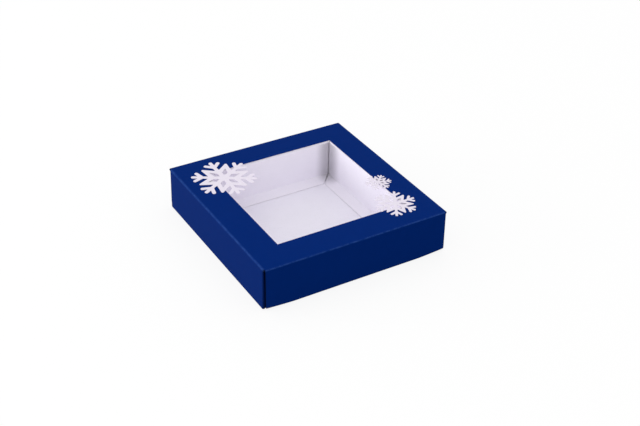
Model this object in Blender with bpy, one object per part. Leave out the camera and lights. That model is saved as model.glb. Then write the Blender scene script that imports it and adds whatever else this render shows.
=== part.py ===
"""Square chocolate box of folded card: a hollow-walled tray, a lift-off lid with a clear
window, and three die-cut snowflakes that lie on the lid and reach over the window.

Metres, +Z up. The origin is the centre of the tray's underside. X runs along the lid's
rolled-over front wall, and Y from that wall to the back.
"""

import math

import bmesh
import bpy
from mathutils import Matrix, Vector
from mathutils.geometry import tessellate_polygon

MM = 0.001

# Lid: one blank, folded down on four sides
LID_LENGTH = 160.0 * MM
LID_WIDTH = 160.0 * MM
LID_DEPTH = 35.5 * MM
LID_CARD = 0.5 * MM
LID_CREASE_RADIUS = 0.6 * MM
LID_GROUND_GAP = 0.4 * MM
LID_CORNER_SLIT = 0.2 * MM
WINDOW_BORDER = 24.0 * MM
WINDOW_SHIFT_X = 0.7 * MM
WINDOW_SHIFT_Y = 0.7 * MM

# Lid's front and back walls, rolled over at the bottom, and the flaps that they trap
CORNER_RECESS = 1.2 * MM
CORNER_BEND_RADIUS = 1.5 * MM
ROLL_LEAN = 1.0 * MM
ROLL_SLACK = 0.8 * MM
ROLL_END_RISE = 1.4 * MM
ROLL_RISE_RUN = 24.0 * MM
RISE_POWER = 1.3
ROLL_TOP_GAP = 1.2 * MM
ROLL_INSET = 1.8 * MM
DUST_FLAP_LENGTH = 34.0 * MM
DUST_FLAP_TAPER = 2.5 * MM
FLAP_NOTCH = 0.3 * MM
FLAP_EDGE_RISE = 0.3 * MM

# Clear film under the lid's window
FILM_THICKNESS = 0.25 * MM
FILM_MARGIN = 12.0 * MM
FILM_CORNER = 3.0 * MM

# Tray: one blank with hollow walls
TRAY_CARD = 0.5 * MM
TRAY_CREASE_RADIUS = 0.55 * MM
TRAY_CORNER_SLIT = 0.6 * MM
SIGHT_MARGIN = 0.3 * MM
FOOT_WIDTH = 8.7 * MM
FOOT_SPRING = 2.4 * MM
GLUE_TAB_LENGTH = 15.0 * MM
GLUE_TAB_TAPER = 2.0 * MM

# Fits between pieces
SEAT_GAP = 0.3 * MM
LID_FIT = 0.5 * MM

# Snowflakes: radius, turn, and the centre's place from two edges of the window, inwards
FLAKE_CARD = 0.4 * MM
FLAKES = {
    "snowflake_large": {
        "radius": 26.2 * MM, "turn": 30.0, "side": (-1, 1), "inset": (7.5 * MM, 11.0 * MM)},
    "snowflake_medium": {
        "radius": 17.4 * MM, "turn": 0.0, "side": (1, -1), "inset": (5.2 * MM, 3.9 * MM)},
    "snowflake_small": {
        "radius": 10.1 * MM, "turn": 42.0, "side": (1, -1), "inset": (-0.4 * MM, 36.5 * MM)},
}

# One flake's shape, in shares of its radius
ARM_HALF_SHARE = 0.0575
PRONG_ROOT_SHARE = 0.66
PRONG_REACH_SHARE = 0.28
PRONG_ANGLE = 46.0
NOTCH_SHARE = 0.55
NOTCH_ANGLE = 7.0
PETAL_TIP_SHARE = 0.833
PETAL_ROUND_SHARE = 0.045
KITE_INNER_SHARE = 0.15
KITE_WIDEST_SHARE = 0.30
KITE_HALF_WIDTH_SHARE = 0.092
KITE_OUTER_SHARE = 0.54
BAY_SHARE = 0.615

# Facets of the round stretches
CREASE_STEPS = 4
RISE_STEPS = 5
TIP_STEPS = 6
PETAL_STEPS = 4
WELD = 0.001 * MM
CUTTER_OVERRUN = 2.0 * MM

# Levels and half sizes that follow from the sizes above
LID_TOP = LID_GROUND_GAP + LID_DEPTH
TRAY_TOP = LID_TOP - LID_CARD - SEAT_GAP - FILM_THICKNESS - SEAT_GAP
LID_HALF = Vector((LID_LENGTH / 2, LID_WIDTH / 2))
WINDOW_HALF = LID_HALF - Vector((WINDOW_BORDER, WINDOW_BORDER))
WINDOW_CENTRE = Vector((WINDOW_SHIFT_X, WINDOW_SHIFT_Y))
LID_FOLD = LID_CREASE_RADIUS + LID_CARD / 2
TRAY_FOLD = TRAY_CREASE_RADIUS + TRAY_CARD / 2
CORNER_FOLD = CORNER_BEND_RADIUS + LID_CARD / 2
ROLL_FOLD = (2 * SEAT_GAP + ROLL_SLACK + 2 * LID_CARD) / 2
ROLL_DEPTH = 2 * ROLL_FOLD + LID_CARD
TRAY_HALF = LID_HALF - Vector((LID_CARD + LID_FIT, ROLL_DEPTH + LID_FIT))
WELL_HALF = WINDOW_HALF + Vector((SIGHT_MARGIN, SIGHT_MARGIN))


def clear_scene():
    for item in list(bpy.data.objects):
        bpy.data.objects.remove(item, do_unlink=True)


def make_material(name, colour, roughness, alpha=1.0):
    material = bpy.data.materials.new(name)
    material.use_nodes = True
    shader = material.node_tree.nodes["Principled BSDF"]
    shader.inputs["Base Color"].default_value = (*colour, 1.0)
    shader.inputs["Roughness"].default_value = roughness
    shader.inputs["Metallic"].default_value = 0.0
    shader.inputs["Alpha"].default_value = alpha
    material.diffuse_color = (*colour, alpha)
    return material


def link_object(name, mesh_source, material, parent=None):
    """Turn a bmesh into a named object with one material."""
    mesh = bpy.data.meshes.new(name)
    mesh_source.to_mesh(mesh)
    mesh_source.free()
    mesh.materials.append(material)
    mesh.shade_smooth()
    mesh.set_sharp_from_angle(angle=math.radians(35))
    item = bpy.data.objects.new(name, mesh)
    item.parent = parent
    bpy.context.collection.objects.link(item)
    return item


def folded_line(corners, radius):
    """Mid-line of a folded sheet through flat corners, each one turned on the given radius."""
    line = [Vector(corners[0])]
    for before, corner, after in zip(corners, corners[1:], corners[2:]):
        corner = Vector(corner)
        into = (corner - Vector(before)).normalized()
        onward = (Vector(after) - corner).normalized()
        turn = math.atan2(into.x * onward.y - into.y * onward.x, into.dot(onward))
        if abs(turn) < math.radians(1):
            line.append(corner)
            continue
        start = corner - into * radius * math.tan(abs(turn) / 2)
        centre = start + Vector((-into.y, into.x)) * math.copysign(radius, turn)
        for step in range(CREASE_STEPS + 1):
            spoke = Matrix.Rotation(turn * step / CREASE_STEPS, 2) @ (start - centre)
            if (centre + spoke - line[-1]).length > WELD:
                line.append(centre + spoke)
    line.append(Vector(corners[-1]))
    return line


def place_on_side(axis, sign, out, along, level):
    """A point on one side of a box: out from the centre, along the side, and up."""
    if axis == "X":
        return Vector((sign * out, along, level))
    return Vector((along, sign * out, level))


def side_rows(axis, sign, columns, half_at):
    """Rows of points along one folded side, from the flat panel to the sheet's free edge.

    Each column is a share of the side's half length and the mid-line there. half_at gives
    the half length at a place on the mid-line.
    """
    rows = []
    for places in zip(*[line for _, line in columns]):
        shares = [share for share, _ in columns]
        rows.append([place_on_side(axis, sign, out, share * half_at(out, level), level)
                     for share, (out, level) in zip(shares, places)])
    return rows


def add_grid(sheet, rows):
    """Quads between rows of points. Shared edges are welded later."""
    grid = [[sheet.verts.new(point) for point in row] for row in rows]
    for upper, lower in zip(grid, grid[1:]):
        for index in range(len(upper) - 1):
            sheet.faces.new((upper[index], upper[index + 1], lower[index + 1], lower[index]))


def add_panel(sheet, half, level, edges):
    """The flat middle panel, one face round its corners and its sides' first rows."""
    front, right, back, left = edges
    loop = [Vector((-half.x, -half.y, level)), *front, Vector((half.x, -half.y, level)), *right,
            Vector((half.x, half.y, level)), *reversed(back), Vector((-half.x, half.y, level)),
            *reversed(left)]
    sheet.faces.new([sheet.verts.new(point) for point in loop])


def add_corner_flap(sheet, signs, top, bottom, length, taper, lift=0.0):
    """A flap that turns round a box's upright corner and runs behind the next wall.

    top and bottom each hold the point where the mid-planes of the wall and the flap cross, and
    the bend's radius there. The lower edge climbs by lift on its way round the corner, and both
    edges then close in by taper.
    """
    edges = []
    for (corner, fold), climb, closing in ((top, 0.0, -taper), (bottom, lift, taper)):
        plan = folded_line(
            [(corner.x, corner.y - fold), (corner.x, corner.y), (corner.x - length, corner.y)], fold)
        edge = []
        for point in plan:
            turned = min(1.0, (corner.x - point.x) / fold)
            along = max(0.0, (corner.x - fold - point.x) / (length - fold))
            edge.append(Vector((signs[0] * point.x, signs[1] * point.y,
                                corner.z + climb * turned + closing * along)))
        edges.append(edge)
    add_grid(sheet, edges)


def finish_sheet(name, sheet, thickness, material, parent=None):
    """Weld the panels into one surface and give it the card's thickness."""
    bmesh.ops.remove_doubles(sheet, verts=sheet.verts, dist=WELD)
    bmesh.ops.recalc_face_normals(sheet, faces=sheet.faces)
    item = link_object(name, sheet, material, parent)
    card = item.modifiers.new("card", "SOLIDIFY")
    card.thickness = thickness
    card.offset = 0.0
    card.use_even_offset = True
    return item


def flatten_shading(item):
    """Shade the panels flat and the creases round."""
    shading = item.modifiers.new("shading", "WEIGHTED_NORMAL")
    shading.keep_sharp = True


def make_tray(material):
    """Floor, outer walls, rims, inner walls and mitred feet, folded from one sheet."""
    sheet = bmesh.new()
    mid = TRAY_CARD / 2
    foot_level = TRAY_CARD + SEAT_GAP + mid
    mitre_cut = mid + TRAY_CORNER_SLIT / 2
    tab_low = TRAY_CARD + SEAT_GAP + TRAY_FOLD
    tab_high = TRAY_TOP - TRAY_CARD - SEAT_GAP - TRAY_FOLD
    tab_plane = TRAY_HALF.y - TRAY_CARD - SEAT_GAP - mid
    first_rows = {}
    for axis, this, other in (("X", 0, 1), ("Y", 1, 0)):
        wall, well = TRAY_HALF[this], WELL_HALF[this]
        rim_slope = (TRAY_HALF[other] - WELL_HALF[other]) / (wall - well)

        def half_at(out, level):
            """The mitred half length, or on a wall with glue tabs the length between them."""
            has_tabs = axis == "X" and out > wall - TRAY_CARD
            if has_tabs and tab_low - WELD < level < tab_high + WELD:
                return tab_plane - TRAY_FOLD
            slope = rim_slope if out > well else 1.0
            return WELL_HALF[other] + (out - well) * slope - mitre_cut

        line = folded_line([
            (wall - mid - TRAY_FOLD, mid),
            (wall - mid, mid),
            (wall - mid, tab_low),
            (wall - mid, tab_high),
            (wall - mid, TRAY_TOP - mid),
            (well + mid, TRAY_TOP - mid),
            (well + mid, foot_level + FOOT_SPRING),
            (well - FOOT_WIDTH, foot_level),
        ], TRAY_FOLD)
        for sign in (-1, 1):
            rows = side_rows(axis, sign, [(-1, line), (1, line)], half_at)
            add_grid(sheet, rows)
            first_rows[axis, sign] = rows[0]
    for signs in ((-1, -1), (1, -1), (1, 1), (-1, 1)):
        top, bottom = [(Vector((TRAY_HALF.x - mid, tab_plane, level)), TRAY_FOLD)
                       for level in (tab_high, tab_low)]
        add_corner_flap(sheet, signs, top, bottom, GLUE_TAB_LENGTH, GLUE_TAB_TAPER)
    add_panel(sheet, TRAY_HALF - Vector((mid + TRAY_FOLD, mid + TRAY_FOLD)), mid,
              [first_rows["Y", -1], first_rows["X", 1], first_rows["Y", 1], first_rows["X", -1]])
    tray = finish_sheet("tray_blank", sheet, TRAY_CARD, material)
    flatten_shading(tray)
    return tray


def make_lid(material, parent):
    """Top, single side walls with dust flaps, and rolled-over front and back walls.

    It is modelled down from its own top face, where its parent stands.
    """
    sheet = bmesh.new()
    mid = LID_CARD / 2
    mitre_cut = mid + LID_CORNER_SLIT / 2
    face = LID_HALF - Vector((mid, mid))
    flap_high = -LID_CARD - LID_CREASE_RADIUS - FLAP_NOTCH
    flap_low = -LID_DEPTH + FLAP_EDGE_RISE
    flap_lift = ROLL_END_RISE + LID_CARD + SEAT_GAP - FLAP_EDGE_RISE
    first_rows = {}

    def lean_at(level):
        """How far a rolled wall and its flaps stand out at a level, below the flaps' top."""
        return ROLL_LEAN * (flap_high - level) / (flap_high + LID_DEPTH)

    def flap_plane(level):
        return face.y - LID_CARD - SEAT_GAP - ROLL_SLACK + lean_at(level)

    def side_half(out, level):
        """Mitred with the next wall at the top crease, and the length between bends below."""
        if level > flap_high + WELD:
            return LID_HALF.y - (LID_HALF.x - out) - mitre_cut
        return flap_plane(level) - (CORNER_FOLD if level < flap_high - WELD else LID_FOLD)

    side_line = folded_line([
        (face.x - LID_FOLD, -mid),
        (face.x, -mid),
        (face.x, flap_high),
        (face.x, flap_low),
        (face.x, -LID_DEPTH),
    ], LID_FOLD)

    def roll_line(rise):
        bottom = -LID_DEPTH + mid + rise
        inner_top = -LID_CARD - ROLL_TOP_GAP
        folds = folded_line([(face.y - LID_FOLD, -mid), (face.y, -mid), (face.y, flap_high)],
                            LID_FOLD)
        roll = folded_line([
            (face.y, flap_high),
            (face.y + lean_at(bottom), bottom),
            (face.y + lean_at(bottom) - 2 * ROLL_FOLD, bottom),
            (face.y + lean_at(inner_top) - 2 * ROLL_FOLD, inner_top),
        ], ROLL_FOLD * math.cos(math.atan2(ROLL_LEAN, flap_high + LID_DEPTH)))
        return folds + roll[1:]

    def roll_half(out, level):
        """Mitred at the top crease, then set back from the corner, the inner wall more so."""
        if level > flap_high + WELD and face.y - out < LID_FOLD + WELD:
            return LID_HALF.x - (LID_HALF.y - out) - mitre_cut
        in_from_face = face.y + lean_at(level) - out
        return LID_HALF.x - CORNER_RECESS - ROLL_INSET * in_from_face / (2 * ROLL_FOLD)

    columns = []
    run_share = ROLL_RISE_RUN / LID_HALF.x
    for step in range(RISE_STEPS + 1):
        rise = ROLL_END_RISE * (1 - step / RISE_STEPS) ** RISE_POWER
        columns.append((-1 + run_share * step / RISE_STEPS, roll_line(rise)))
    columns += [(-share, line) for share, line in reversed(columns)]

    for sign in (-1, 1):
        rows = side_rows("X", sign, [(-1, side_line), (1, side_line)], side_half)
        add_grid(sheet, rows)
        first_rows["X", sign] = rows[0]
        rows = side_rows("Y", sign, columns, roll_half)
        add_grid(sheet, rows)
        first_rows["Y", sign] = rows[0]
    for signs in ((-1, -1), (1, -1), (1, 1), (-1, 1)):
        top, bottom = [(Vector((face.x, flap_plane(level), level)), fold)
                       for level, fold in ((flap_high, LID_FOLD), (flap_low, CORNER_FOLD))]
        add_corner_flap(sheet, signs, top, bottom, DUST_FLAP_LENGTH, DUST_FLAP_TAPER, flap_lift)
    add_panel(sheet, LID_HALF - Vector((mid + LID_FOLD, mid + LID_FOLD)), -mid,
              [first_rows["Y", -1], first_rows["X", 1], first_rows["Y", 1], first_rows["X", -1]])
    lid = finish_sheet("lid_blank", sheet, LID_CARD, material, parent)
    cut_window(lid, parent)
    flatten_shading(lid)
    return lid


def flake_centre(flake):
    """A flake's centre, set in from the two window edges that it lies over."""
    return WINDOW_CENTRE + Vector([side * (half - inset) for side, half, inset in
                                   zip(flake["side"], WINDOW_HALF, flake["inset"])])


def cut_window(lid, parent):
    """Cut the window, with a bay of six sides behind each flake's openings."""
    cutters = []
    window = bmesh.new()
    bmesh.ops.create_cube(window, size=1.0)
    bmesh.ops.scale(window, verts=window.verts,
                    vec=(2 * WINDOW_HALF.x, 2 * WINDOW_HALF.y, 2 * CUTTER_OVERRUN))
    cutters.append(link_object("window_cutter", window, lid.data.materials[0], parent))
    cutters[0].location = WINDOW_CENTRE.to_3d()
    for name, flake in FLAKES.items():
        bay = bmesh.new()
        radius = BAY_SHARE * flake["radius"]
        bmesh.ops.create_cone(bay, cap_ends=True, segments=6, radius1=radius, radius2=radius,
                              depth=2 * CUTTER_OVERRUN)
        cutter = link_object(name + "_bay_cutter", bay, lid.data.materials[0], parent)
        cutter.location = flake_centre(flake).to_3d()
        cutter.rotation_euler.z = math.radians(flake["turn"])
        cutters.append(cutter)
    for cutter in cutters:
        cutter.hide_render = True
        cutter.display_type = "WIRE"
        cut = lid.modifiers.new(cutter.name, "BOOLEAN")
        cut.operation = "DIFFERENCE"
        cut.object = cutter


def make_film(material, parent):
    """The clear film, under the lid's top and wider than the window all round."""
    film = bmesh.new()
    bmesh.ops.create_cube(film, size=1.0)
    bmesh.ops.scale(film, verts=film.verts, vec=(
        2 * (WINDOW_HALF.x + FILM_MARGIN), 2 * (WINDOW_HALF.y + FILM_MARGIN), FILM_THICKNESS))
    upright = [edge for edge in film.edges
               if abs(edge.verts[0].co.z - edge.verts[1].co.z) > FILM_THICKNESS / 2]
    bmesh.ops.bevel(film, geom=upright, offset=FILM_CORNER, segments=CREASE_STEPS, affect="EDGES",
                    profile=0.5)
    item = link_object("window_film", film, material, parent)
    item.location.z = -LID_CARD - SEAT_GAP - FILM_THICKNESS / 2
    return item


def arc(centre, radius, first, last, steps):
    """Points on an arc, from the first angle to the last, in degrees."""
    angles = [math.radians(first + (last - first) * step / steps) for step in range(steps + 1)]
    return [centre + radius * Vector((math.cos(angle), math.sin(angle))) for angle in angles]


def half_sector():
    """A flake's edge from the tip of an arm to the tip of the next petal, at radius 1."""
    lean = math.radians(PRONG_ANGLE)
    prong = Vector((math.cos(lean), math.sin(lean)))
    across = Vector((-prong.y, prong.x))
    root = Vector((PRONG_ROOT_SHARE, 0))
    half = ARM_HALF_SHARE

    def crotch(side):
        edge = root + side * half * across
        return edge + prong * (half - edge.y) / prong.y

    tip = arc(Vector((1 - half, 0)), half, 0, 90, TIP_STEPS // 2)
    prong_end = arc(root + prong * PRONG_REACH_SHARE, half, PRONG_ANGLE - 90, PRONG_ANGLE + 90,
                    TIP_STEPS)
    notch_turn = math.radians(NOTCH_ANGLE)
    notch = NOTCH_SHARE * Vector((math.cos(notch_turn), math.sin(notch_turn)))
    petal_axis = Vector((math.cos(math.radians(30)), math.sin(math.radians(30))))
    petal_centre = petal_axis * (PETAL_TIP_SHARE - PETAL_ROUND_SHARE)
    towards = petal_centre - notch
    edge_angle = math.degrees(math.atan2(towards.y, towards.x)
                              - math.asin(PETAL_ROUND_SHARE / towards.length))
    petal = arc(petal_centre, PETAL_ROUND_SHARE, edge_angle - 90, 30, PETAL_STEPS)
    return [*tip, crotch(-1), *prong_end, crotch(1), notch, *petal]


def flake_loops(radius):
    """The flake's outline, then its six kite-shaped openings."""
    half = half_sector()
    mirror = Matrix(((0.5, math.sqrt(0.75)), (math.sqrt(0.75), -0.5)))
    sector = half + [mirror @ point for point in reversed(half[1:-1])]
    kite = [Vector((KITE_INNER_SHARE, 0)), Vector((KITE_WIDEST_SHARE, KITE_HALF_WIDTH_SHARE)),
            Vector((KITE_OUTER_SHARE, 0)), Vector((KITE_WIDEST_SHARE, -KITE_HALF_WIDTH_SHARE))]
    turns = [Matrix.Rotation(math.radians(60 * step), 2) for step in range(6)]
    quarter = Matrix.Rotation(math.radians(30), 2)
    outline = [radius * (turn @ point) for turn in turns for point in sector]
    kites = [[radius * (turn @ quarter @ point) for point in kite] for turn in turns]
    return [outline, *kites]


def make_flake(name, flake, material, parent):
    """One snowflake of flat card, laid on the lid's top."""
    loops = [[point.to_3d() for point in loop] for loop in flake_loops(flake["radius"])]
    solid = bmesh.new()
    points = [solid.verts.new(point) for loop in loops for point in loop]
    for triangle in tessellate_polygon(loops):
        solid.faces.new([points[index] for index in triangle])
    bmesh.ops.remove_doubles(solid, verts=solid.verts, dist=WELD)
    raised = bmesh.ops.extrude_face_region(solid, geom=solid.faces[:])["geom"]
    bmesh.ops.translate(solid, vec=(0, 0, FLAKE_CARD),
                        verts=[item for item in raised if isinstance(item, bmesh.types.BMVert)])
    bmesh.ops.recalc_face_normals(solid, faces=solid.faces)
    item = link_object(name, solid, material, parent)
    item.location = (*flake_centre(flake), SEAT_GAP)
    item.rotation_euler.z = math.radians(flake["turn"])
    return item


clear_scene()
white_card = make_material("white_card", (0.80, 0.78, 0.84), 0.75)
blue_card = make_material("blue_card", (0.004, 0.022, 0.16), 0.5)
flake_card = make_material("flake_card", (0.85, 0.83, 0.88), 0.7)
clear_film = make_material("clear_film", (0.95, 0.95, 0.97), 0.1, alpha=0.15)

make_tray(white_card)
lid_lift = bpy.data.objects.new("lid_lift", None)
lid_lift.location.z = LID_TOP
bpy.context.collection.objects.link(lid_lift)
make_lid(blue_card, lid_lift)
make_film(clear_film, lid_lift)
for flake_name, flake_sizes in FLAKES.items():
    make_flake(flake_name, flake_sizes, flake_card, lid_lift)
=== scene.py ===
"""Looks of the chocolate box: a white tray and a blue lid of folding boxboard, a clear film
under the lid's window, and three white snowflakes glued over the window's edge.

The pieces come in the order in which the box is put together, and the studio comes last.
"""

import math

import bmesh
import bpy
from mathutils import Matrix, Vector


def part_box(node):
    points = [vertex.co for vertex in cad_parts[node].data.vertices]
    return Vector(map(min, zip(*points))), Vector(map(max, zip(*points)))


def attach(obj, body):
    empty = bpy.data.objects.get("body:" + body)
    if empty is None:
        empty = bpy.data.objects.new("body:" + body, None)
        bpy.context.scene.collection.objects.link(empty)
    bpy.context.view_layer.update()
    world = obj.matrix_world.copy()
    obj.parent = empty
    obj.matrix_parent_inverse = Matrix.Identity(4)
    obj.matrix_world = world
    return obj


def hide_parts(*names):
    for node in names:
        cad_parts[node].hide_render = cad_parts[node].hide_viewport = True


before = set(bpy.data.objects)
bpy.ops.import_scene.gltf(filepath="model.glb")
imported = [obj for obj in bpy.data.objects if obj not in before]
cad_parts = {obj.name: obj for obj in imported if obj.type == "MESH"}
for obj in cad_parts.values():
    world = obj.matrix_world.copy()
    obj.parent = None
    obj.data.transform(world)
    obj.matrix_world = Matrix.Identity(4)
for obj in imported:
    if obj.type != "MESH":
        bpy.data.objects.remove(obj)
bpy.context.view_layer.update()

# Tray. One sheet of white folding boxboard, half a millimetre thick, creased and folded into a
# floor, four hollow walls with flat rims, and feet that lie on the floor with mitred corners.
# The coated side shows on the walls, rims and feet, and the board's plain back on the floor.

MM = 0.001
WELD = 0.002 * MM
LEVEL = 0.99
FOLD_LIMIT = math.radians(50)
SHARP_FOLD = math.radians(35)
BOARD_SHEEN = 0.15
TRAY_COATED = "#F7F3FD"
TRAY_BACK = "#F7F4FE"
TRAY_CUT = "#F5F1F9"
RIM_LIFT = 0.70 * MM
FOOT_SETTLE = (0.30 * MM, 0.20 * MM)
FOOT_EDGES = 50.0 * MM
# Shade is painted between folds lying on each other: the board's colour darkens where less than
# the higher share of the sky is left, down to the least light at the lower share.
SLIT_PAINTED_SHADE = "#3A3638"
SLIT_REACH = 2.0 * MM
SLIT_SKY = (0.10, 0.60)
SLIT_LEAST = 0.35
# Shade is painted into the well's corners over a band, most strongly in the corner at the back
# right.
WELL_CORNER = (56.5 * MM, 56.5 * MM, 0.0)
WELL_HEIGHTS = (0.6 * MM, 34.4 * MM)
CORNER_WEIGHTS = (1.2, 0.85, 0.0)
CORNER_BAND = (4.0 * MM, 17.0 * MM)
CORNER_SHADE = (0.0, 0.37)
CORNER_SHADE_FROM = (20.0 * MM, 100.0 * MM)
# Fibres are about 0.03 mm wide, too fine to show, and are drawn ten times as coarse.
FIBRE = 0.35 * MM
# The cloudiness of board, and the slow waves of a folded panel, are drawn to their real size.
CLOUD = 9.0 * MM
BUCKLE = 38.0 * MM


def linear(hex_colour):
    """An sRGB hex colour as linear red, green and blue, with alpha 1."""
    channels = [int(hex_colour[start:start + 2], 16) / 255 for start in (1, 3, 5)]
    return (*[c / 12.92 if c <= 0.04045 else ((c + 0.055) / 1.055) ** 2.4 for c in channels], 1.0)


def add_node(tree, kind, inputs=None, **settings):
    """Add a node with its settings, and a value or a link for each input that is named."""
    node = tree.nodes.new(kind)
    for name, value in settings.items():
        setattr(node, name, value)
    for name, value in (inputs or {}).items():
        if isinstance(value, bpy.types.NodeSocket):
            tree.links.new(value, node.inputs[name])
        else:
            node.inputs[name].default_value = value
    return node


def start_material(name, shader_values):
    """A new material with its tree, its Principled shader and its Object coordinates."""
    material = bpy.data.materials.new(name)
    material.use_nodes = True
    tree = material.node_tree
    tree.nodes.clear()
    shader = add_node(tree, "ShaderNodeBsdfPrincipled", shader_values)
    add_node(tree, "ShaderNodeOutputMaterial", {"Surface": shader.outputs["BSDF"]})
    place = add_node(tree, "ShaderNodeTexCoord")
    return material, tree, shader, place


def add_paper_surface(tree, place, shader, colour, mottle, fibre_height):
    """Clouded colour, and a fibrous surface that is not quite flat, as paper board has."""
    cloud = add_node(tree, "ShaderNodeTexNoise", {
        "Vector": place.outputs["Object"], "Scale": 1 / CLOUD, "Detail": 4.0, "Roughness": 0.6})
    fibres = add_node(tree, "ShaderNodeTexNoise", {
        "Vector": place.outputs["Object"], "Scale": 1 / FIBRE, "Detail": 3.0, "Roughness": 0.7})
    uneven = add_node(tree, "ShaderNodeMath", {
        0: cloud.outputs["Fac"], 1: fibres.outputs["Fac"]}, operation="ADD")
    brightness = add_node(tree, "ShaderNodeMapRange", {
        "Value": uneven.outputs["Value"], "From Min": 0.6, "From Max": 1.4,
        "To Min": 1.0 - mottle, "To Max": 1.0 + mottle})
    tinted = add_node(tree, "ShaderNodeHueSaturation", {
        "Value": brightness.outputs["Result"], "Color": colour})
    buckle = add_node(tree, "ShaderNodeTexNoise", {
        "Vector": place.outputs["Object"], "Scale": 1 / BUCKLE, "Detail": 1.0})
    slow = add_node(tree, "ShaderNodeBump", {
        "Height": buckle.outputs["Fac"], "Strength": 0.5, "Distance": 0.5 * MM})
    rough = add_node(tree, "ShaderNodeBump", {
        "Height": fibres.outputs["Fac"], "Strength": 0.5, "Distance": fibre_height,
        "Normal": slow.outputs["Normal"]})
    tree.links.new(tinted.outputs["Color"], shader.inputs["Base Color"])
    tree.links.new(rough.outputs["Normal"], shader.inputs["Normal"])


def add_line_distance(tree, place, line, weights):
    """Distance from a line parallel to one axis, whose weight is 0, and its mirror images."""
    positive = add_node(tree, "ShaderNodeVectorMath", {0: place.outputs["Object"]},
                        operation="ABSOLUTE")
    offset = add_node(tree, "ShaderNodeVectorMath", {
        0: positive.outputs["Vector"], 1: line}, operation="SUBTRACT")
    across = add_node(tree, "ShaderNodeVectorMath", {
        0: offset.outputs["Vector"], 1: weights}, operation="MULTIPLY")
    return add_node(tree, "ShaderNodeVectorMath", {0: across.outputs["Vector"]},
                    operation="LENGTH").outputs["Value"]


def make_white_board(name, colour, roughness, mottle, fibre_height):
    """Bleached boxboard: a soft white, matt and a little mottled by its fibres."""
    material, tree, shader, place = start_material(name, {
        "Roughness": roughness, "IOR": 1.5, "Specular IOR Level": BOARD_SHEEN})
    add_paper_surface(tree, place, shader, linear(colour), mottle, fibre_height)
    return material


def make_tray_board(name, colour, roughness, mottle, fibre_height):
    """White board with painted shade in the tray's open corners and in the slits between folds."""
    material, tree, shader, place = start_material(name, {
        "Roughness": roughness, "IOR": 1.5, "Specular IOR Level": BOARD_SHEEN})
    # Painted shade in the well's corners: greyest at each corner's line, fading out over the band.
    corner = add_line_distance(tree, place, WELL_CORNER, CORNER_WEIGHTS)
    to_back_right = add_node(tree, "ShaderNodeVectorMath", {
        0: place.outputs["Object"], 1: (1.0, 1.0, 0.0)}, operation="DOT_PRODUCT")
    least = add_node(tree, "ShaderNodeMapRange", {
        "Value": to_back_right.outputs["Value"],
        "From Min": CORNER_SHADE_FROM[0], "From Max": CORNER_SHADE_FROM[1],
        "To Min": 1.0 - CORNER_SHADE[0], "To Max": 1.0 - CORNER_SHADE[1]})
    kept = add_node(tree, "ShaderNodeMapRange", {
        "Value": corner, "From Min": CORNER_BAND[0], "From Max": CORNER_BAND[1],
        "To Min": least.outputs["Result"], "To Max": 1.0}, interpolation_type="SMOOTHSTEP")
    height = add_node(tree, "ShaderNodeSeparateXYZ", {"Vector": place.outputs["Object"]})
    inside = add_node(tree, "ShaderNodeMath", {
        0: height.outputs["Z"], 1: sum(WELL_HEIGHTS) / 2,
        2: (WELL_HEIGHTS[1] - WELL_HEIGHTS[0]) / 2}, operation="COMPARE")
    outside = add_node(tree, "ShaderNodeMath", {
        0: 1.0, 1: inside.outputs["Value"]}, operation="SUBTRACT")
    kept = add_node(tree, "ShaderNodeMath", {
        0: kept.outputs["Result"], 1: outside.outputs["Value"]}, operation="MAXIMUM")
    # Painted shade in the slits between folds: the colour greys where nearby folds hide the sky.
    slits = add_node(tree, "ShaderNodeAmbientOcclusion", {"Distance": SLIT_REACH},
                     only_local=True, samples=8)
    open_share = add_node(tree, "ShaderNodeMapRange", {
        "Value": slits.outputs["AO"], "From Min": SLIT_SKY[0], "From Max": SLIT_SKY[1],
        "To Min": SLIT_LEAST, "To Max": 1.0})
    light = add_node(tree, "ShaderNodeMath", {
        0: kept.outputs["Value"], 1: open_share.outputs["Result"]}, operation="MULTIPLY")
    shaded = add_node(tree, "ShaderNodeMix", {
        "Factor": light.outputs["Value"], "A": linear(SLIT_PAINTED_SHADE), "B": linear(colour)},
        data_type="RGBA")
    add_paper_surface(tree, place, shader, shaded.outputs["Result"], mottle, fibre_height)
    return material


def dress_sheet(node, name, upper, lower, cut, lift=0.0, settle=(0.0, 0.0)):
    """A merged copy of a folded sheet's node, with a material for each of its two sides.

    Each side spreads from its largest level face over every fold, and stops at the cut edges.
    lift raises the sheet's highest folds against what they carry, and settle lowers the free
    inner edges at its sides, and at its front and back, towards the floor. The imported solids
    keep small gaps there.
    """
    source = bmesh.new()
    source.from_mesh(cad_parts[node].data)
    bmesh.ops.remove_doubles(source, verts=source.verts, dist=WELD)
    middle = sum(corner.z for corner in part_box(node)) / 2
    for vertex in source.verts:
        if vertex.co.z > middle:
            vertex.co.z += lift
        elif max(abs(vertex.co.x), abs(vertex.co.y)) < FOOT_EDGES:
            vertex.co.z -= settle[0 if abs(vertex.co.x) > abs(vertex.co.y) else 1]
    for face in source.faces:
        face.material_index = 2
    for index, facing in ((0, 1), (1, -1)):
        level = [face for face in source.faces if face.normal.z * facing > LEVEL]
        front = [max(level, key=lambda face: face.calc_area())]
        while front:
            face = front.pop()
            face.material_index = index
            front += [other for edge in face.edges
                      if len(edge.link_faces) == 2 and edge.calc_face_angle() < FOLD_LIMIT
                      for other in edge.link_faces if other.material_index == 2]
    mesh = bpy.data.meshes.new(name)
    source.to_mesh(mesh)
    source.free()
    for material in (upper, lower, cut):
        mesh.materials.append(material)
    mesh.shade_smooth()
    mesh.set_sharp_from_angle(angle=SHARP_FOLD)
    piece = bpy.data.objects.new(name, mesh)
    bpy.context.collection.objects.link(piece)
    flats = piece.modifiers.new("flat_panels", "WEIGHTED_NORMAL")
    flats.keep_sharp = True
    return piece
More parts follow.
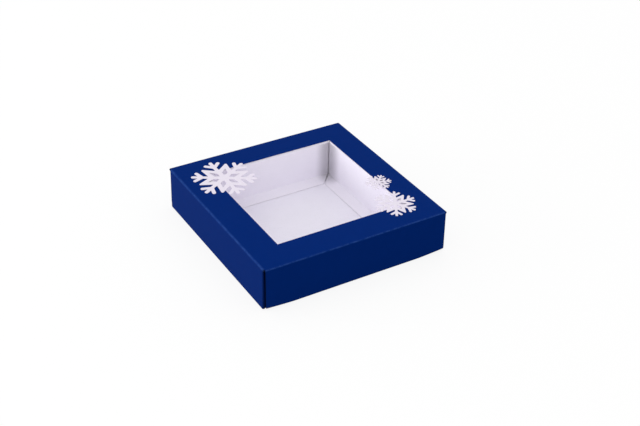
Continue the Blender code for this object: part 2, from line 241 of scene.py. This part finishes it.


# Bleached boxboard with a smooth clay coating: a bright, cool white that is even and matt, with
# shade painted into the well's corners and between its folds.
coated_board = make_tray_board("coated_boxboard_white", TRAY_COATED, 0.55, 0.012, 0.010 * MM)
# Its uncoated back is rougher and a shade duller, and its fibres show a little.
plain_board = make_white_board("plain_boxboard_back", TRAY_BACK, 0.75, 0.020, 0.020 * MM)
# An edge cut by the die's steel rule bares the fluffy core: dull, greyish and uneven.
cut_board = make_white_board("die_cut_board_edge", TRAY_CUT, 0.85, 0.060, 0.040 * MM)
tray = dress_sheet("tray_blank", "tray", plain_board, coated_board, cut_board, RIM_LIFT,
                   FOOT_SETTLE)
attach(tray, "tray")
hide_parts("tray_blank")

# Lid. One sheet of the same board, printed deep blue on one side, with its window die-cut. The
# side walls have flaps that turn the corners. The front and back walls roll over them and lock,
# so blue shows inside there too. The print is cracked and worn pale along the creases, where a
# highlight is painted as well, and shade is painted at the seams of the upright corners.

LID_BLUE = "#01266E"
LID_WEAR_AND_HIGHLIGHT = "#3C5FA4"
LID_CUT = "#0A2660"
LID_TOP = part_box("lid_blank")[1].z
LID_EDGE = (79.8 * MM, 79.8 * MM, LID_TOP - 0.2 * MM)
PRINT_SHEEN = 0.0085
# Shade is painted at the seams of the upright corners, where little sky is left, and over a
# narrow band beside them.
SEAM_PAINTED_SHADE = "#010210"
SEAM_REACH = 3.5 * MM
SEAM_SKY = (0.60, 0.97)
SEAM_BAND = 3.6 * MM
SEAM_WEIGHTS = (2.2, 1.0, 0.0)
# The creases of the side walls run along Y, and those of the rolled walls along X. Along them a
# pale strip of that reach, partly worn print and partly a painted highlight, is laid by these
# shares.
CREASES = (
    {"weights": (1.0, 0.0, 1.0), "reach": 1.5 * MM, "least": 0.10, "most": 0.42},
    {"weights": (0.0, 1.0, 1.0), "reach": 1.0 * MM, "least": 0.0, "most": 0.40},
)
# Along a crease the ink wears, and the painted highlight shows, in stretches of some millimetres,
# which are drawn to size, and in flecks of about 0.2 mm, drawn three times as coarse so that they
# show.
WEAR_AND_HIGHLIGHT_PATCH = 5.0 * MM
WEAR_AND_HIGHLIGHT_GRAIN = 0.6 * MM
WEAR_AND_HIGHLIGHT_SPREAD = (0.8, 1.15)
WINDOW_EDGES = 70.0 * MM


def make_blue_print(name, colour, roughness):
    """Offset ink on board under a matt varnish: deep blue, with little gloss. Along the creases a
    pale strip is partly worn ink and partly a painted highlight, and shade is painted at the corner
    seams.
    """
    material, tree, shader, place = start_material(name, {
        "Roughness": roughness, "IOR": 1.5, "Specular IOR Level": PRINT_SHEEN})
    patches = add_node(tree, "ShaderNodeTexNoise", {
        "Vector": place.outputs["Object"], "Scale": 1 / WEAR_AND_HIGHLIGHT_PATCH, "Detail": 3.0})
    grains = add_node(tree, "ShaderNodeTexNoise", {
        "Vector": place.outputs["Object"], "Scale": 1 / WEAR_AND_HIGHLIGHT_GRAIN, "Detail": 2.0})
    uneven = add_node(tree, "ShaderNodeMath", {
        0: patches.outputs["Fac"], 1: grains.outputs["Fac"]}, operation="ADD")
    # Painted highlight and worn ink: a pale strip along each crease, broken by the noise.
    wear_and_highlight = []
    for crease in CREASES:
        near = add_node(tree, "ShaderNodeMapRange", {
            "Value": add_line_distance(tree, place, LID_EDGE, crease["weights"]),
            "From Min": crease["reach"], "From Max": crease["reach"] / 4})
        broken = add_node(tree, "ShaderNodeMapRange", {
            "Value": uneven.outputs["Value"],
            "From Min": WEAR_AND_HIGHLIGHT_SPREAD[0], "From Max": WEAR_AND_HIGHLIGHT_SPREAD[1],
            "To Min": crease["least"], "To Max": crease["most"]})
        wear_and_highlight.append(add_node(tree, "ShaderNodeMath", {
            0: near.outputs["Result"], 1: broken.outputs["Result"]}, operation="MULTIPLY"))
    wear_and_highlight = add_node(tree, "ShaderNodeMath", {
        0: wear_and_highlight[0].outputs["Value"], 1: wear_and_highlight[1].outputs["Value"]}, operation="MAXIMUM")
    ink = add_node(tree, "ShaderNodeMix", {
        "Factor": wear_and_highlight.outputs["Value"], "A": linear(colour), "B": linear(LID_WEAR_AND_HIGHLIGHT)},
        data_type="RGBA")
    # Painted shade at the upright corners' seams, from the local sky and a narrow band.
    seam = add_node(tree, "ShaderNodeAmbientOcclusion", {"Distance": SEAM_REACH},
                    only_local=True, samples=8)
    open_share = add_node(tree, "ShaderNodeMapRange", {
        "Value": seam.outputs["AO"], "From Min": SEAM_SKY[0], "From Max": SEAM_SKY[1]})
    away = add_node(tree, "ShaderNodeMapRange", {
        "Value": add_line_distance(tree, place, LID_EDGE, SEAM_WEIGHTS),
        "From Min": 0.0, "From Max": SEAM_BAND})
    light = add_node(tree, "ShaderNodeMath", {
        0: open_share.outputs["Result"], 1: away.outputs["Result"]}, operation="MULTIPLY")
    shaded = add_node(tree, "ShaderNodeMix", {
        "Factor": light.outputs["Value"], "A": linear(SEAM_PAINTED_SHADE),
        "B": ink.outputs["Result"]}, data_type="RGBA")
    add_paper_surface(tree, place, shader, shaded.outputs["Result"], 0.05, 0.008 * MM)
    return material


# Offset ink, laid on full and sealed with a matt varnish: a deep, even blue without gloss, with a
# painted highlight beside the worn ink on its creases and painted shade at its corner seams.
blue_print = make_blue_print("blue_print_on_boxboard", LID_BLUE, 0.5)
# The lid's outer cut edges took up ink, so that they look a duller blue and not white.
inked_edge = make_blue_print("ink_stained_board_edge", LID_CUT, 0.8)
lid = dress_sheet("lid_blank", "lid", blue_print, plain_board, inked_edge)
lid.data.materials.append(cut_board)
for face in lid.data.polygons:
    in_window = max(abs(face.center.x), abs(face.center.y)) < WINDOW_EDGES
    if face.material_index == 2 and in_window:
        face.material_index = 3
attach(lid, "lid")
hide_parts("lid_blank")

# Film. A sheet of clear PET, a tenth of a millimetre thick, glued under the lid's border so
# that it closes the window. It is smooth and almost invisible from above.

FILM_THICKNESS = 0.10 * MM
FILM_GLUE = 0.01 * MM
FILM_TINT = "#50545C"
FILM_VEIL = 0.02

# Cast PET: so clear and smooth that only a faint reflection gives it away.
clear_film = start_material("clear_pet_film", {
    "Base Color": linear(FILM_TINT), "Roughness": 0.08, "IOR": 1.57, "Alpha": FILM_VEIL})[0]
film_low, film_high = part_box("window_film")
lid_underside = LID_TOP - 0.5 * MM
film_bmesh = bmesh.new()
bmesh.ops.create_cube(film_bmesh, size=1.0)
bmesh.ops.scale(film_bmesh, verts=film_bmesh.verts, vec=(
    film_high.x - film_low.x, film_high.y - film_low.y, FILM_THICKNESS))
bmesh.ops.translate(film_bmesh, verts=film_bmesh.verts, vec=(
    0, 0, lid_underside - FILM_GLUE - FILM_THICKNESS / 2))
film_mesh = bpy.data.meshes.new("film")
film_bmesh.to_mesh(film_mesh)
film_bmesh.free()
film_mesh.materials.append(clear_film)
film = bpy.data.objects.new("film", film_mesh)
bpy.context.collection.objects.link(film)
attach(film, "lid")
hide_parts("window_film")

# Snowflakes. Three sizes of one shape, die-cut from white card and glued to the lid over bays of
# its window. Each has six arms with two prongs, and six petals with kite-shaped openings.

FLAKE_WHITE = "#E9E2EF"
FLAKE_CARD = 0.35 * MM
FLAKE_SEAT = 0.03 * MM
FLAKE_EDGE = 0.07 * MM
# The flakes' sizes and turns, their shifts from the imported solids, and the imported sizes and
# turns, by which the lid's bays were cut.
FLAKES = {
    "snowflake_large": {
        "radius": 26.35 * MM, "turn": 29.8, "shift": (-0.15 * MM, -0.45 * MM),
        "packed_radius": 26.2 * MM, "packed_turn": 30.0},
    "snowflake_medium": {
        "radius": 17.4 * MM, "turn": 0.0, "shift": (-0.45 * MM, -0.10 * MM),
        "packed_radius": 17.4 * MM, "packed_turn": 0.0},
    "snowflake_small": {
        "radius": 11.0 * MM, "turn": 44.0, "shift": (-0.65 * MM, -0.05 * MM),
        "packed_radius": 10.1 * MM, "packed_turn": 42.0},
}
PACKED_BAY_SHARE = 0.615
BAY_SHARE = 0.56
BAY_TOLERANCE = 0.02 * MM
WINDOW_CENTRE = Vector((0.7 * MM, 0.7 * MM))


def turned(degrees, length=1.0):
    """A flat vector of that length at that angle."""
    angle = math.radians(degrees)
    return Vector((length * math.cos(angle), length * math.sin(angle)))


def arc(centre, radius, first, last, steps):
    """Points on an arc, from the first angle to the last, in degrees."""
    return [centre + turned(first + (last - first) * step / steps, radius)
            for step in range(steps + 1)]


def flake_sector():
    """A sixth of a flake at radius 1: one arm, and half of the petal on each side of it."""
    arm, prong_lean, prong_length = 0.0575, 46.8, 0.284
    petal_tip, petal_round = 0.818, 0.040
    kite_near, kite_widest, kite_half_width, kite_far = 0.15, 0.30, 0.092, 0.54
    root = Vector((0.661, 0.0))
    prong = turned(prong_lean)
    across = turned(prong_lean + 90, arm)
    crotches = [root + side * across + prong * (arm - side * across.y) / prong.y
                for side in (-1, 1)]
    petal_centre = turned(30, petal_tip - petal_round)
    notch = turned(7.5, 0.487)
    towards = petal_centre - notch
    flank = math.degrees(
        math.atan2(towards.y, towards.x) - math.asin(petal_round / towards.length))
    half = [*arc(Vector((1 - arm, 0)), arm, 0, 90, 5),
            crotches[0],
            *arc(root + prong * prong_length, arm, prong_lean - 90, prong_lean + 90, 10),
            crotches[1],
            notch,
            *arc(petal_centre, petal_round, flank - 90, 30, 6),
            turned(30, kite_far),
            turned(30, kite_widest) + turned(-60, kite_half_width),
            turned(30, kite_near)]
    other_half = [Vector((point.x, -point.y)) for point in half[1:]]
    return half + [Vector((0, 0))] + other_half[::-1]


def fit_bay(flake, packed_centre, centre):
    """Draw the lid's bay behind a flake in, to a hexagon that the flake's notches cover."""
    packed_reach = PACKED_BAY_SHARE * flake["packed_radius"]
    reach = BAY_SHARE * flake["radius"]
    sides = [turned(flake["packed_turn"] + 60 * step) for step in range(6)]
    for vertex in lid.data.vertices:
        out = vertex.co.xy - packed_centre
        if vertex.co.z < LID_TOP - MM or out.length > packed_reach + BAY_TOLERANCE:
            continue
        if out.length > packed_reach - BAY_TOLERANCE:
            place = centre + out * reach / packed_reach
        else:
            # Here the bay meets the window's straight edge, and the corner slides along it.
            side = max(sides, key=out.dot)
            from_middle = vertex.co.xy - WINDOW_CENTRE
            along = Vector((0, 1) if abs(from_middle.x) > abs(from_middle.y) else (1, 0))
            short = reach * math.cos(math.radians(30)) - side.dot(vertex.co.xy - centre)
            place = vertex.co.xy + along * short / side.dot(along)
        vertex.co.xy = place


def make_flake_tree():
    """Geometry nodes: six sectors round a centre, merged, thickened and laid in place."""
    tree = bpy.data.node_groups.new("snowflake", "GeometryNodeTree")
    tree.interface.new_socket("Sector", in_out="INPUT", socket_type="NodeSocketGeometry")
    for name, kind in (("Radius", "Float"), ("Turn", "Float"), ("Centre", "Vector"),
                       ("Card", "Float"), ("Material", "Material")):
        tree.interface.new_socket(name, in_out="INPUT", socket_type="NodeSocket" + kind)
    tree.interface.new_socket("Flake", in_out="OUTPUT", socket_type="NodeSocketGeometry")
    given = add_node(tree, "NodeGroupInput").outputs
    ring = add_node(tree, "GeometryNodeMeshCircle", {"Vertices": 6, "Radius": 0.0})
    index = add_node(tree, "GeometryNodeInputIndex")
    sixth = add_node(tree, "ShaderNodeMath", {
        0: index.outputs["Index"], 1: math.radians(60)}, operation="MULTIPLY")
    spin = add_node(tree, "ShaderNodeCombineXYZ", {"Z": sixth.outputs["Value"]})
    spin_turn = add_node(tree, "FunctionNodeEulerToRotation", {"Euler": spin.outputs["Vector"]})
    arms = add_node(tree, "GeometryNodeInstanceOnPoints", {
        "Points": ring.outputs["Mesh"], "Instance": given["Sector"],
        "Rotation": spin_turn.outputs["Rotation"]})
    flat = add_node(tree, "GeometryNodeRealizeInstances", {"Geometry": arms.outputs["Instances"]})
    joined = add_node(tree, "GeometryNodeMergeByDistance", {
        "Geometry": flat.outputs["Geometry"], "Distance": 0.002})
    size = add_node(tree, "ShaderNodeCombineXYZ", {
        "X": given["Radius"], "Y": given["Radius"], "Z": given["Radius"]})
    flake_turn = add_node(tree, "ShaderNodeCombineXYZ", {"Z": given["Turn"]})
    turn_socket = add_node(tree, "FunctionNodeEulerToRotation", {
        "Euler": flake_turn.outputs["Vector"]})
    laid = add_node(tree, "GeometryNodeTransform", {
        "Geometry": joined.outputs["Geometry"], "Translation": given["Centre"],
        "Rotation": turn_socket.outputs["Rotation"], "Scale": size.outputs["Vector"]})
    raised = add_node(tree, "GeometryNodeExtrudeMesh", {
        "Mesh": laid.outputs["Geometry"], "Offset Scale": given["Card"], "Individual": False})
    underside = add_node(tree, "GeometryNodeFlipFaces", {"Mesh": laid.outputs["Geometry"]})
    both = add_node(tree, "GeometryNodeJoinGeometry")
    for part in (raised, underside):
        tree.links.new(part.outputs["Mesh"], both.inputs["Geometry"])
    closed = add_node(tree, "GeometryNodeMergeByDistance", {
        "Geometry": both.outputs["Geometry"], "Distance": 0.005 * MM})
    solid = add_node(tree, "GeometryNodeRealizeInstances", {"Geometry": closed.outputs["Geometry"]})
    dressed = add_node(tree, "GeometryNodeSetMaterial", {
        "Geometry": solid.outputs["Geometry"], "Material": given["Material"]})
    add_node(tree, "NodeGroupOutput", {"Flake": dressed.outputs["Geometry"]})
    return tree


# Smooth white card, cut by a die: a soft matt white, a shade greyer than the tray's coating.
flake_card = make_white_board("die_cut_white_card", FLAKE_WHITE, 0.6, 0.015, 0.012 * MM)
flake_tree = make_flake_tree()
for node_name, flake in FLAKES.items():
    low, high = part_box(node_name)
    packed_centre = ((low + high) / 2).xy
    centre = packed_centre + Vector(flake["shift"])
    fit_bay(flake, packed_centre, centre)
    sector_mesh = bpy.data.meshes.new(node_name + "_sector")
    outline = [point.to_3d() for point in flake_sector()]
    sector_mesh.from_pydata(outline, [], [list(range(len(outline)))])
    sector = bpy.data.objects.new(node_name + "_sector", sector_mesh)
    bpy.context.collection.objects.link(sector)
    grow = sector.modifiers.new("grow", "NODES")
    grow.node_group = flake_tree
    values = {"Radius": flake["radius"], "Turn": math.radians(flake["turn"]),
              "Centre": (centre.x, centre.y, LID_TOP + FLAKE_SEAT),
              "Card": FLAKE_CARD, "Material": flake_card}
    for socket in flake_tree.interface.items_tree:
        if socket.name in values:
            grow[socket.identifier] = values[socket.name]
    grown = bpy.data.meshes.new_from_object(
        sector.evaluated_get(bpy.context.evaluated_depsgraph_get()))
    bpy.data.objects.remove(sector, do_unlink=True)
    piece = bpy.data.objects.new(node_name.replace("snowflake", "flake"), grown)
    bpy.context.collection.objects.link(piece)
    pressed = piece.modifiers.new("pressed_edge", "BEVEL")
    pressed.width = FLAKE_EDGE
    pressed.segments = 2
    pressed.limit_method = "ANGLE"
    pressed.angle_limit = math.radians(60)
    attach(piece, "lid")
    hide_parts(node_name)

# Camera. A short telephoto lens from the front left and above, as the photograph was taken.
# Its distance and angles were fitted to the corners of the lid.

LENS = 67.0
CAMERA_AZIMUTH = -31.671
CAMERA_ELEVATION = 33.503
CAMERA_ROLL = 1.626
LID_OFF_AXIS = (-0.01185, 0.01851)
CAMERA_DISTANCE = 0.93605

lid_low, lid_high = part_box("lid_blank")
target = Vector(((lid_low.x + lid_high.x) / 2, (lid_low.y + lid_high.y) / 2, lid_high.z))
azimuth, elevation = math.radians(CAMERA_AZIMUTH), math.radians(CAMERA_ELEVATION)
back = Vector((math.sin(azimuth) * math.cos(elevation),
               -math.cos(azimuth) * math.cos(elevation), math.sin(elevation)))
level_right = (-back).cross(Vector((0, 0, 1))).normalized()
level_up = level_right.cross(-back)
roll = math.radians(CAMERA_ROLL)
right = math.cos(roll) * level_right + math.sin(roll) * level_up
up = math.cos(roll) * level_up - math.sin(roll) * level_right
camera = bpy.data.objects.new("camera", bpy.data.cameras.new("camera"))
camera.data.sensor_width = 36.0
camera.data.lens = LENS
camera.matrix_world = Matrix((right, up, back)).transposed().to_4x4()
camera.location = (target - LID_OFF_AXIS[0] * right - LID_OFF_AXIS[1] * up
                   + CAMERA_DISTANCE * back)
bpy.context.collection.objects.link(camera)
bpy.context.scene.camera = camera

# Studio. A white floor that runs on into a white backdrop, a large softbox on the left and a
# white room. The floor shows as white, apart from the soft shadow under the box.

FLOOR_SIZE = 6.0
FLOOR_WHITE = "#FFFFFF"
FLOOR_BOUNCE = "#A0A0A0"
FLOOR_GLOW = 0.86
ROOM_LIGHT = 0.94
SOFTBOX_POWER = 8.3
SOFTBOX_SIZE = (1.0, 0.6)
SOFTBOX_PLACE = (-1.30, 0.47, 0.20)


def make_floor_material():
    """Matt white background paper, lit so that it shows as white with a faint shadow."""
    material = bpy.data.materials.new("white_studio_paper")
    material.use_nodes = True
    tree = material.node_tree
    tree.nodes.clear()
    rays = add_node(tree, "ShaderNodeLightPath")
    tone = add_node(tree, "ShaderNodeMix", {
        "Factor": rays.outputs["Is Camera Ray"], "A": linear(FLOOR_BOUNCE),
        "B": linear(FLOOR_WHITE)}, data_type="RGBA")
    paper = add_node(tree, "ShaderNodeBsdfDiffuse", {"Color": tone.outputs["Result"]})
    glow = add_node(tree, "ShaderNodeEmission", {"Color": (1.0, 1.0, 1.0, 1.0), "Strength": 1.0})
    seen = add_node(tree, "ShaderNodeMath", {
        0: rays.outputs["Is Camera Ray"], 1: rays.outputs["Is Glossy Ray"]}, operation="MAXIMUM")
    seen = add_node(tree, "ShaderNodeMath", {
        0: seen.outputs["Value"], 1: rays.outputs["Is Transmission Ray"]}, operation="MAXIMUM")
    share = add_node(tree, "ShaderNodeMath", {
        0: seen.outputs["Value"], 1: FLOOR_GLOW}, operation="MULTIPLY")
    mixed = add_node(tree, "ShaderNodeMixShader", {
        "Fac": share.outputs["Value"], 1: paper.outputs["BSDF"], 2: glow.outputs["Emission"]})
    add_node(tree, "ShaderNodeOutputMaterial", {"Surface": mixed.outputs["Shader"]})
    return material


floor_mesh = bpy.data.meshes.new("floor")
half = FLOOR_SIZE / 2
floor_mesh.from_pydata([(-half, -half, 0), (half, -half, 0), (half, half, 0), (-half, half, 0)],
                       [], [(0, 1, 2, 3)])
floor_mesh.materials.append(make_floor_material())
floor = bpy.data.objects.new("floor", floor_mesh)
bpy.context.collection.objects.link(floor)

world = bpy.context.scene.world or bpy.data.worlds.new("room")
bpy.context.scene.world = world
world.use_nodes = True
room = world.node_tree
room.nodes.clear()
ray = add_node(room, "ShaderNodeLightPath")
direct = add_node(room, "ShaderNodeMath", {
    0: ray.outputs["Is Camera Ray"], 1: ray.outputs["Is Glossy Ray"]}, operation="MAXIMUM")
direct = add_node(room, "ShaderNodeMath", {
    0: direct.outputs["Value"], 1: ray.outputs["Is Transmission Ray"]}, operation="MAXIMUM")
level = add_node(room, "ShaderNodeMapRange", {
    "Value": direct.outputs["Value"], "To Min": ROOM_LIGHT, "To Max": 1.0})
white = add_node(room, "ShaderNodeBackground", {
    "Color": (1.0, 1.0, 1.0, 1.0), "Strength": level.outputs["Result"]})
add_node(room, "ShaderNodeOutputWorld", {"Surface": white.outputs["Background"]})

softbox = bpy.data.objects.new("softbox", bpy.data.lights.new("softbox", "AREA"))
softbox.data.shape = "RECTANGLE"
softbox.data.size, softbox.data.size_y = SOFTBOX_SIZE
softbox.data.energy = SOFTBOX_POWER
softbox.location = SOFTBOX_PLACE
softbox.rotation_euler = (target - softbox.location).to_track_quat("-Z", "Y").to_euler()
bpy.context.collection.objects.link(softbox)

bpy.context.scene.view_settings.view_transform = "Standard"
